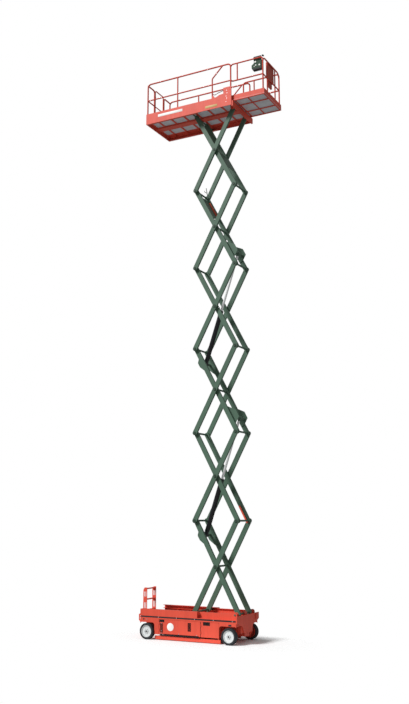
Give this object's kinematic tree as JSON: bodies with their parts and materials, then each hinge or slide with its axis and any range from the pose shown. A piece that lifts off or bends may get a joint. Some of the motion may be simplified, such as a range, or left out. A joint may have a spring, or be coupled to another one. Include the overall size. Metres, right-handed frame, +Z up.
{
  "type": "electric slab scissor lift, raised",
  "caption": "Self-propelled electric scissor lift with raised six-section stack, railed platform with roll-out deck, four wheels, swing doors and rear ladder.",
  "frame": {"origin": "centre of the machine's bounding box on the floor under its wheels", "axes": "+X towards the steered front wheels and the roll-out deck, +Y to the machine's left, +Z up"},
  "size_m": [3.71, 1.308, 14.9203],
  "materials": {
    "paint_red": "gloss",
    "paint_green": "satin",
    "tyre_rubber": "matt",
    "rim_paint": "satin",
    "barrel_black": "gloss",
    "rod_chrome": "polished",
    "deck_grey": "satin",
    "dark_steel": "satin",
    "box_green": "matt",
    "box_red": "matt"
  },
  "bodies": {
    "chassis": {"chassis_frame": "paint_red", "linkage_seats": "paint_red", "ladder": "paint_red", "battery_packs": "dark_steel", "hydraulic_unit": "dark_steel"},
    "platform": {"deck_frame": "deck_grey", "deck_sides": "paint_red", "platform_rails": "paint_red"},
    "extension": {"extension_deck": "deck_grey", "extension_rails": "paint_red", "control_box": "box_green", "document_box": "box_red"},
    "gate": {"entry_gate": "paint_red"},
    "rear_door_left": {"rear_door_left": "paint_red"},
    "rear_door_right": {"rear_door_right": "paint_red"},
    "front_door_left": {"front_door_left": "paint_red"},
    "front_door_right": {"front_door_right": "paint_red"},
    "pothole_guard_left": {"pothole_guard_left": "paint_red"},
    "pothole_guard_right": {"pothole_guard_right": "paint_red"},
    "knuckle_left": {"knuckle_left": "paint_red"},
    "knuckle_right": {"knuckle_right": "paint_red"},
    "wheel_front_left": {"tyre_front_left": "tyre_rubber", "rim_front_left": "rim_paint"},
    "wheel_front_right": {"tyre_front_right": "tyre_rubber", "rim_front_right": "rim_paint"},
    "wheel_rear_left": {"tyre_rear_left": "tyre_rubber", "rim_rear_left": "rim_paint"},
    "wheel_rear_right": {"tyre_rear_right": "tyre_rubber", "rim_rear_right": "rim_paint"},
    "inner_1": {"inner_arms_1": "paint_green"},
    "outer_1": {"outer_arms_1": "paint_green"},
    "inner_2": {"inner_arms_2": "paint_green"},
    "outer_2": {"outer_arms_2": "paint_green"},
    "inner_3": {"inner_arms_3": "paint_green"},
    "outer_3": {"outer_arms_3": "paint_green"},
    "inner_4": {"inner_arms_4": "paint_green"},
    "outer_4": {"outer_arms_4": "paint_green"},
    "inner_5": {"inner_arms_5": "paint_green"},
    "outer_5": {"outer_arms_5": "paint_green"},
    "inner_6": {"inner_arms_6": "paint_green"},
    "outer_6": {"outer_arms_6": "paint_green"},
    "barrel_lower": {"lift_barrel_lower": "barrel_black"},
    "rod_lower": {"lift_rod_lower": "rod_chrome"},
    "barrel_upper": {"lift_barrel_upper": "barrel_black"},
    "rod_upper": {"lift_rod_upper": "rod_chrome"}
  },
  "joints": [
    {"name": "lift", "type": "hinge", "parent": "chassis", "child": "inner_1", "pos_m": [0.855, 0, 0.666], "axis": [0, -1, 0], "range_deg": [0, 57.8]},
    {"name": "scissor_cross_1", "type": "hinge", "parent": "inner_1", "child": "outer_1", "pos_m": [0.27825, 0, 1.7507], "axis": [0, -1, 0], "range_deg": [-115.6, 0]},
    {"name": "scissor_elbow_1", "type": "hinge", "parent": "outer_1", "child": "inner_2", "pos_m": [0.855, 0, 2.8354], "axis": [0, -1, 0], "range_deg": [0, 115.6]},
    {"name": "scissor_cross_2", "type": "hinge", "parent": "inner_2", "child": "outer_2", "pos_m": [0.27825, 0, 3.9201], "axis": [0, -1, 0], "range_deg": [-115.6, 0]},
    {"name": "scissor_elbow_2", "type": "hinge", "parent": "outer_2", "child": "inner_3", "pos_m": [0.855, 0, 5.0048], "axis": [0, -1, 0], "range_deg": [0, 115.6]},
    {"name": "scissor_cross_3", "type": "hinge", "parent": "inner_3", "child": "outer_3", "pos_m": [0.27825, 0, 6.08951], "axis": [0, -1, 0], "range_deg": [-115.6, 0]},
    {"name": "scissor_elbow_3", "type": "hinge", "parent": "outer_3", "child": "inner_4", "pos_m": [0.855, 0, 7.17421], "axis": [0, -1, 0], "range_deg": [0, 115.6]},
    {"name": "scissor_cross_4", "type": "hinge", "parent": "inner_4", "child": "outer_4", "pos_m": [0.27825, 0, 8.25891], "axis": [0, -1, 0], "range_deg": [-115.6, 0]},
    {"name": "scissor_elbow_4", "type": "hinge", "parent": "outer_4", "child": "inner_5", "pos_m": [0.855, 0, 9.34361], "axis": [0, -1, 0], "range_deg": [0, 115.6]},
    {"name": "scissor_cross_5", "type": "hinge", "parent": "inner_5", "child": "outer_5", "pos_m": [0.27825, 0, 10.42831], "axis": [0, -1, 0], "range_deg": [-115.6, 0]},
    {"name": "scissor_elbow_5", "type": "hinge", "parent": "outer_5", "child": "inner_6", "pos_m": [0.855, 0, 11.51301], "axis": [0, -1, 0], "range_deg": [0, 115.6]},
    {"name": "scissor_cross_6", "type": "hinge", "parent": "inner_6", "child": "outer_6", "pos_m": [0.27825, 0, 12.59771], "axis": [0, -1, 0], "range_deg": [-115.6, 0]},
    {"name": "platform_level", "type": "hinge", "parent": "outer_6", "child": "platform", "pos_m": [0.855, 0, 13.68241], "axis": [0, -1, 0], "range_deg": [0, 57.8]},
    {"name": "cylinder_base_lower", "type": "hinge", "parent": "inner_1", "child": "barrel_lower", "pos_m": [-0.18141, 0, 2.48314], "axis": [0, -1, 0], "range_deg": [-112.72, 0]},
    {"name": "cylinder_rod_lower", "type": "slide", "parent": "barrel_lower", "child": "rod_lower", "axis": [0.3187, 0, 0.9478], "range_m": [-1.2505, 0]},
    {"name": "cylinder_base_upper", "type": "hinge", "parent": "inner_3", "child": "barrel_upper", "pos_m": [-0.18141, 0, 6.82194], "axis": [0, -1, 0], "range_deg": [-112.72, 0]},
    {"name": "cylinder_rod_upper", "type": "slide", "parent": "barrel_upper", "child": "rod_upper", "axis": [0.3187, 0, 0.9478], "range_m": [-1.2505, 0]},
    {"name": "steer_left", "type": "hinge", "parent": "chassis", "child": "knuckle_left", "pos_m": [0.755, 0.455, 0.19], "axis": [0, 0, 1], "range_deg": [-35, 35]},
    {"name": "wheel_front_left_spin", "type": "hinge", "parent": "knuckle_left", "child": "wheel_front_left", "pos_m": [0.755, 0.59, 0.1905], "axis": [0, 1, 0], "continuous": true},
    {"name": "wheel_rear_left_spin", "type": "hinge", "parent": "chassis", "child": "wheel_rear_left", "pos_m": [-1.495, 0.59, 0.1905], "axis": [0, 1, 0], "continuous": true},
    {"name": "rear_door_left_hinge", "type": "hinge", "parent": "chassis", "child": "rear_door_left", "pos_m": [-1.158, 0.606, 0.3], "axis": [0, 0, 1], "range_deg": [0, 95]},
    {"name": "front_door_left_hinge", "type": "hinge", "parent": "chassis", "child": "front_door_left", "pos_m": [-0.004, 0.606, 0.3], "axis": [0, 0, 1], "range_deg": [0, 95]},
    {"name": "pothole_guard_left_lift", "type": "slide", "parent": "chassis", "child": "pothole_guard_left", "axis": [0, 0, 1], "range_m": [0, 0.09]},
    {"name": "steer_right", "type": "hinge", "parent": "chassis", "child": "knuckle_right", "pos_m": [0.755, -0.455, 0.19], "axis": [0, 0, 1], "range_deg": [-35, 35]},
    {"name": "wheel_front_right_spin", "type": "hinge", "parent": "knuckle_right", "child": "wheel_front_right", "pos_m": [0.755, -0.59, 0.1905], "axis": [0, 1, 0], "continuous": true},
    {"name": "wheel_rear_right_spin", "type": "hinge", "parent": "chassis", "child": "wheel_rear_right", "pos_m": [-1.495, -0.59, 0.1905], "axis": [0, 1, 0], "continuous": true},
    {"name": "rear_door_right_hinge", "type": "hinge", "parent": "chassis", "child": "rear_door_right", "pos_m": [-1.158, -0.606, 0.3], "axis": [0, 0, 1], "range_deg": [-95, 0]},
    {"name": "front_door_right_hinge", "type": "hinge", "parent": "chassis", "child": "front_door_right", "pos_m": [-0.004, -0.606, 0.3], "axis": [0, 0, 1], "range_deg": [-95, 0]},
    {"name": "pothole_guard_right_lift", "type": "slide", "parent": "chassis", "child": "pothole_guard_right", "axis": [0, 0, 1], "range_m": [0, 0.09]},
    {"name": "extension_roll", "type": "slide", "parent": "platform", "child": "extension", "axis": [1, 0, 0], "range_m": [-0.9, 0]},
    {"name": "gate_hinge", "type": "hinge", "parent": "platform", "child": "gate", "pos_m": [-1.6977, -0.222, 14.4], "axis": [0, 0, 1], "range_deg": [-90, 0]}
  ],
  "couplings": [
    {"joint": "scissor_cross_1", "follows": "lift", "ratio": -2},
    {"joint": "scissor_elbow_1", "follows": "lift", "ratio": 2},
    {"joint": "scissor_cross_2", "follows": "lift", "ratio": -2},
    {"joint": "scissor_elbow_2", "follows": "lift", "ratio": 2},
    {"joint": "scissor_cross_3", "follows": "lift", "ratio": -2},
    {"joint": "scissor_elbow_3", "follows": "lift", "ratio": 2},
    {"joint": "scissor_cross_4", "follows": "lift", "ratio": -2},
    {"joint": "scissor_elbow_4", "follows": "lift", "ratio": 2},
    {"joint": "scissor_cross_5", "follows": "lift", "ratio": -2},
    {"joint": "scissor_elbow_5", "follows": "lift", "ratio": 2},
    {"joint": "scissor_cross_6", "follows": "lift", "ratio": -2},
    {"joint": "platform_level", "follows": "lift", "ratio": 1},
    {"joint": "cylinder_base_lower", "follows": "lift", "ratio": -1.95},
    {"joint": "cylinder_rod_lower", "follows": "lift", "m_per_rad": -1.2391},
    {"joint": "cylinder_base_upper", "follows": "lift", "ratio": -1.95},
    {"joint": "cylinder_rod_upper", "follows": "lift", "m_per_rad": -1.2391},
    {"joint": "steer_right", "follows": "steer_left", "ratio": 1}
  ]
}
